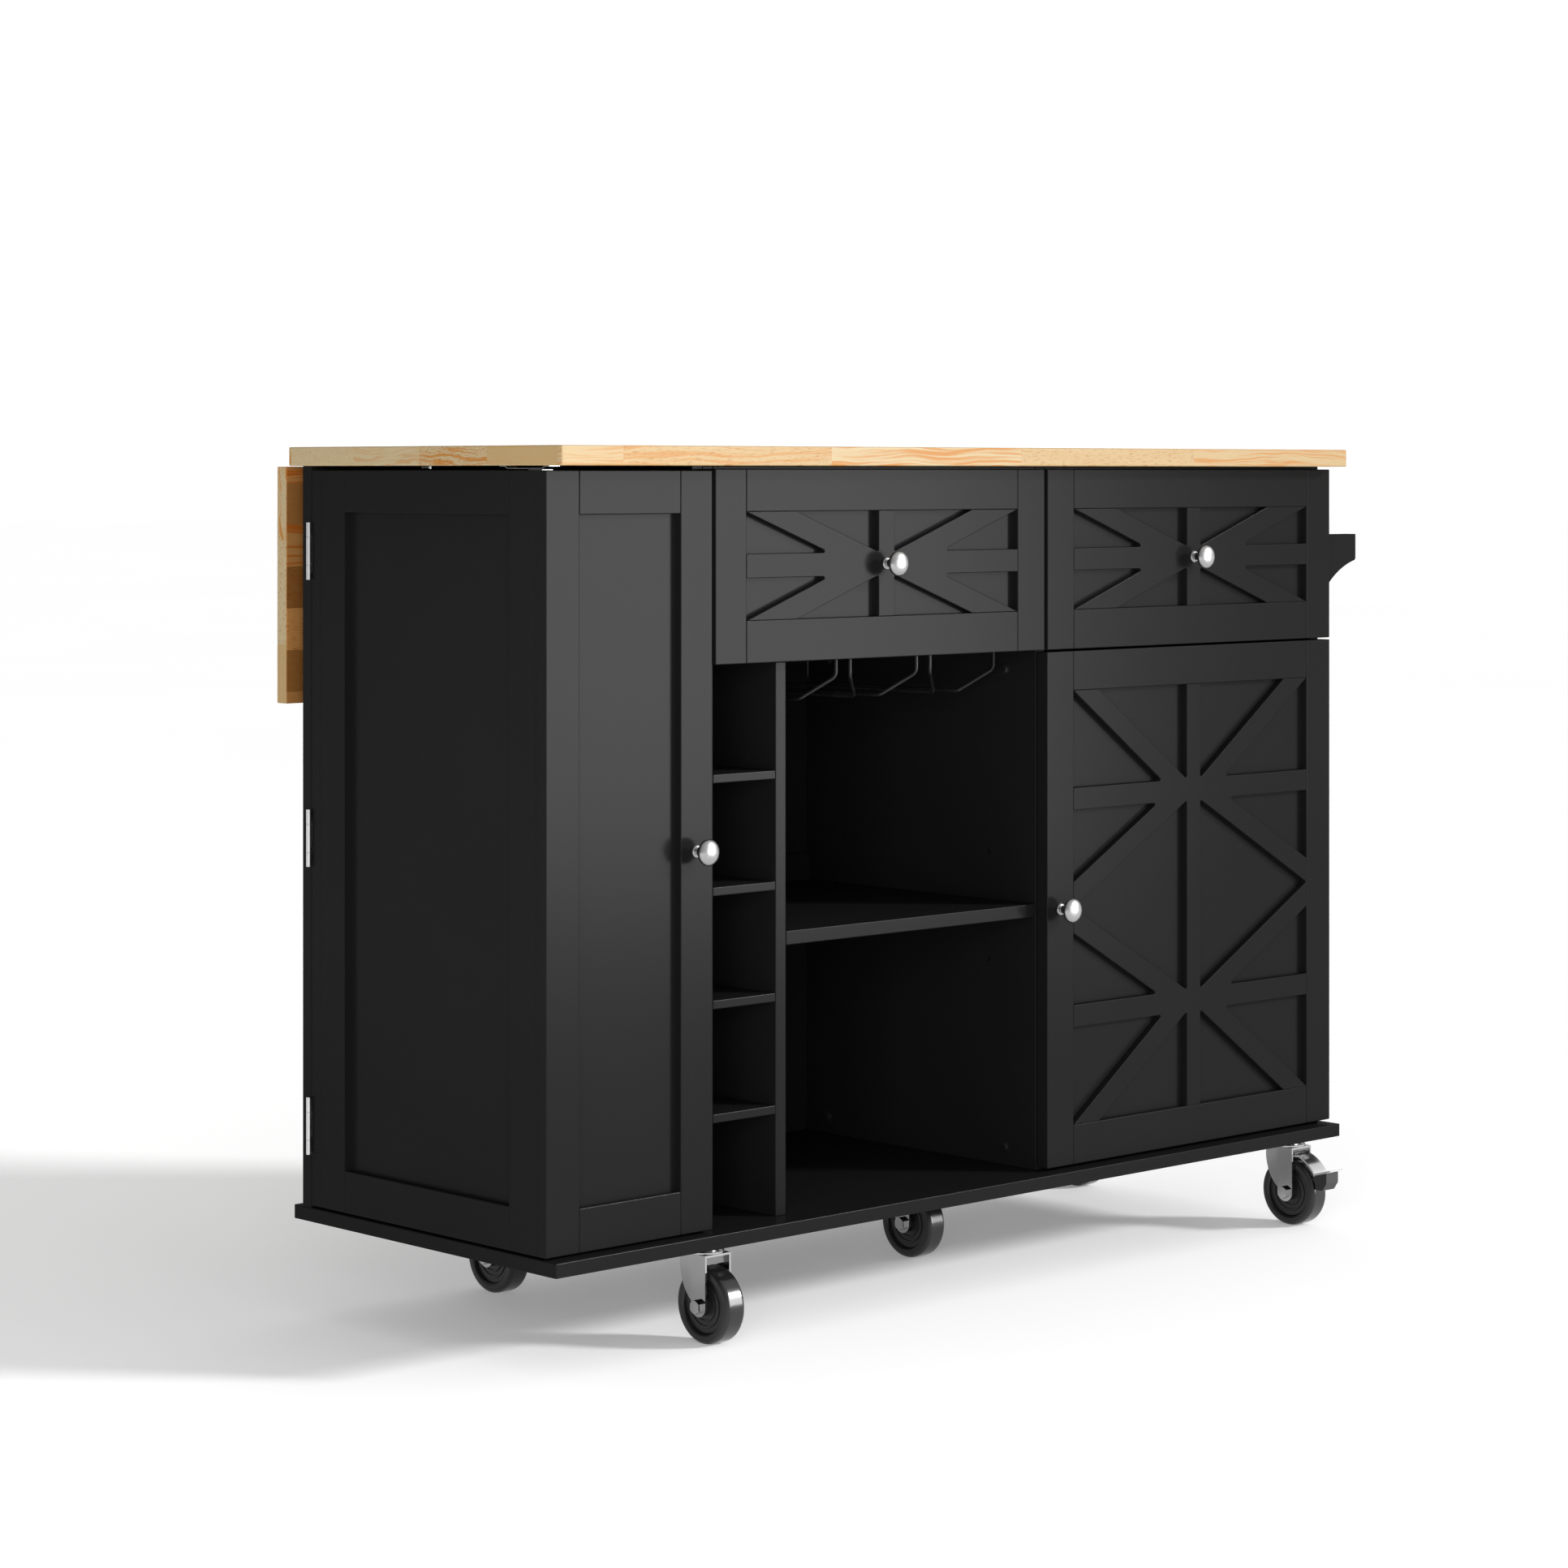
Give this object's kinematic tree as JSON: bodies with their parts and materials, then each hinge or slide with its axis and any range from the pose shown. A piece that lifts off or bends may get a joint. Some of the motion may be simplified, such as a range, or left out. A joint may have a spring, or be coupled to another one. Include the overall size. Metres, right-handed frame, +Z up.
{
  "type": "kitchen island cart",
  "caption": "Rolling kitchen island with a wood drop-leaf top, drawers, lattice door, swing-out end box, wine cells, stemware rack and towel rail.",
  "frame": {"origin": "floor level, under the middle of the whole cart at rest with leaf down", "axes": "+X to the right along the front, +Y from the front to the back, +Z up"},
  "size_m": [1.308, 0.4978, 0.932],
  "materials": {
    "painted_board": "satin charcoal lacquer on board",
    "rubberwood": "clear matt lacquer on finger-jointed rubberwood",
    "nickel": "satin nickel",
    "chrome": "polished",
    "zinc_steel": "zinc-plated sheet",
    "black_steel": "gloss black",
    "wheel_black": "glossy black",
    "pale_rubber": "matt",
    "drawer_wood": "pale plywood"
  },
  "bodies": {
    "carcass": {"worktop": "rubberwood", "base_board": "painted_board", "back_panel": "painted_board", "left_partition": "painted_board", "wine_partition": "painted_board", "middle_partition": "painted_board", "right_side_panel": "painted_board", "divider_boards": "painted_board", "top_rails": "painted_board", "wine_shelves": "painted_board", "fixed_shelves": "painted_board", "battens_and_cleats": "painted_board", "shelf_pins_and_screws": "black_steel", "drawer_runner_rails": "zinc_steel", "glass_rack": "black_steel", "towel_brackets": "painted_board", "towel_rod": "rubberwood", "box_hinge_plates": "zinc_steel", "door_hinge_arms": "zinc_steel", "leaf_hinge_plates": "zinc_steel", "box_catch": "zinc_steel", "cell_buffer": "pale_rubber", "support_wall_plates": "zinc_steel", "caster_plates": "chrome"},
    "swing_box": {"box_front_frame": "painted_board", "box_side_frame": "painted_board", "box_boards": "painted_board", "catch_strike": "zinc_steel", "box_shelves": "painted_board", "box_knob": "nickel", "box_hinge_leaves": "zinc_steel"},
    "cabinet_door": {"door_frame": "painted_board", "door_lattice": "painted_board", "door_knob": "nickel", "door_hinge_cups": "zinc_steel"},
    "left_drawer": {"left_drawer_front": "painted_board", "left_drawer_box": "drawer_wood", "left_drawer_knob": "nickel", "left_drawer_runners": "zinc_steel"},
    "right_drawer": {"right_drawer_front": "painted_board", "right_drawer_box": "drawer_wood", "right_drawer_knob": "nickel", "right_drawer_runners": "zinc_steel"},
    "leaf": {"drop_leaf": "rubberwood", "leaf_hinge_leaves": "zinc_steel", "support_leaf_plates": "zinc_steel"},
    "lower_links": {"support_lower_links": "zinc_steel"},
    "upper_links": {"support_upper_links": "zinc_steel"},
    "caster_front_left": {"fork_front_left": "chrome"},
    "caster_wheel_front_left": {"wheel_front_left": "wheel_black"},
    "caster_back_left": {"fork_back_left": "chrome"},
    "caster_wheel_back_left": {"wheel_back_left": "wheel_black"},
    "caster_centre": {"fork_centre": "chrome"},
    "caster_wheel_centre": {"wheel_centre": "wheel_black"},
    "caster_front_right": {"fork_front_right": "chrome"},
    "caster_wheel_front_right": {"wheel_front_right": "wheel_black"},
    "pedal_front_right": {"brake_front_right": "chrome"},
    "caster_back_right": {"fork_back_right": "chrome"},
    "caster_wheel_back_right": {"wheel_back_right": "wheel_black"},
    "pedal_back_right": {"brake_back_right": "chrome"}
  },
  "joints": [
    {"name": "box_swing", "type": "hinge", "parent": "carcass", "child": "swing_box", "pos_m": [-0.6512, 0.1881, 0.5147], "axis": [0, 0, -1], "range_deg": [0, 110]},
    {"name": "door_swing", "type": "hinge", "parent": "carcass", "child": "cabinet_door", "pos_m": [0.58, -0.1868, 0.4132], "axis": [0, 0, 1], "range_deg": [0, 105]},
    {"name": "left_drawer_slide", "type": "slide", "parent": "carcass", "child": "left_drawer", "axis": [0, -1, 0], "range_m": [0, 0.3]},
    {"name": "right_drawer_slide", "type": "slide", "parent": "carcass", "child": "right_drawer", "axis": [0, -1, 0], "range_m": [0, 0.3]},
    {"name": "leaf_fold", "type": "hinge", "parent": "carcass", "child": "leaf", "pos_m": [-0.034, 0.2284, 0.9117], "axis": [1, 0, 0], "range_deg": [0, 90]},
    {"name": "lower_link_turn", "type": "hinge", "parent": "carcass", "child": "lower_links", "pos_m": [-0.034, 0.2122, 0.7617], "axis": [1, 0, 0], "range_deg": [-44, 2]},
    {"name": "upper_link_turn", "type": "hinge", "parent": "leaf", "child": "upper_links", "pos_m": [-0.034, 0.2232, 0.7617], "axis": [1, 0, 0], "range_deg": [-2, 36]},
    {"name": "swivel_front_left", "type": "hinge", "parent": "carcass", "child": "caster_front_left", "pos_m": [-0.4095, -0.1753, 0.09], "axis": [0, 0, 1], "continuous": true},
    {"name": "roll_front_left", "type": "hinge", "parent": "caster_front_left", "child": "caster_wheel_front_left", "pos_m": [-0.4095, -0.1843, 0.04], "axis": [1, 0, 0], "continuous": true},
    {"name": "swivel_back_left", "type": "hinge", "parent": "carcass", "child": "caster_back_left", "pos_m": [-0.4095, 0.1747, 0.09], "axis": [0, 0, 1], "continuous": true},
    {"name": "roll_back_left", "type": "hinge", "parent": "caster_back_left", "child": "caster_wheel_back_left", "pos_m": [-0.4095, 0.1657, 0.04], "axis": [1, 0, 0], "continuous": true},
    {"name": "swivel_centre", "type": "hinge", "parent": "carcass", "child": "caster_centre", "pos_m": [0.063, -0.0003, 0.09], "axis": [0, 0, 1], "continuous": true},
    {"name": "roll_centre", "type": "hinge", "parent": "caster_centre", "child": "caster_wheel_centre", "pos_m": [0.063, -0.0093, 0.04], "axis": [1, 0, 0], "continuous": true},
    {"name": "swivel_front_right", "type": "hinge", "parent": "carcass", "child": "caster_front_right", "pos_m": [0.537, -0.1753, 0.09], "axis": [0, 0, 1], "continuous": true},
    {"name": "roll_front_right", "type": "hinge", "parent": "caster_front_right", "child": "caster_wheel_front_right", "pos_m": [0.537, -0.1843, 0.04], "axis": [1, 0, 0], "continuous": true},
    {"name": "brake_front_right", "type": "hinge", "parent": "caster_front_right", "child": "pedal_front_right", "pos_m": [0.537, -0.1923, 0.084], "axis": [1, 0, 0], "range_deg": [0, 2]},
    {"name": "swivel_back_right", "type": "hinge", "parent": "carcass", "child": "caster_back_right", "pos_m": [0.537, 0.1747, 0.09], "axis": [0, 0, 1], "continuous": true},
    {"name": "roll_back_right", "type": "hinge", "parent": "caster_back_right", "child": "caster_wheel_back_right", "pos_m": [0.537, 0.1657, 0.04], "axis": [1, 0, 0], "continuous": true},
    {"name": "brake_back_right", "type": "hinge", "parent": "caster_back_right", "child": "pedal_back_right", "pos_m": [0.537, 0.1577, 0.084], "axis": [1, 0, 0], "range_deg": [0, 2]}
  ],
  "couplings": [
    {"joint": "lower_link_turn", "follows": "leaf_fold", "ratio": -0.4651},
    {"joint": "upper_link_turn", "follows": "leaf_fold", "ratio": 0.3776}
  ]
}
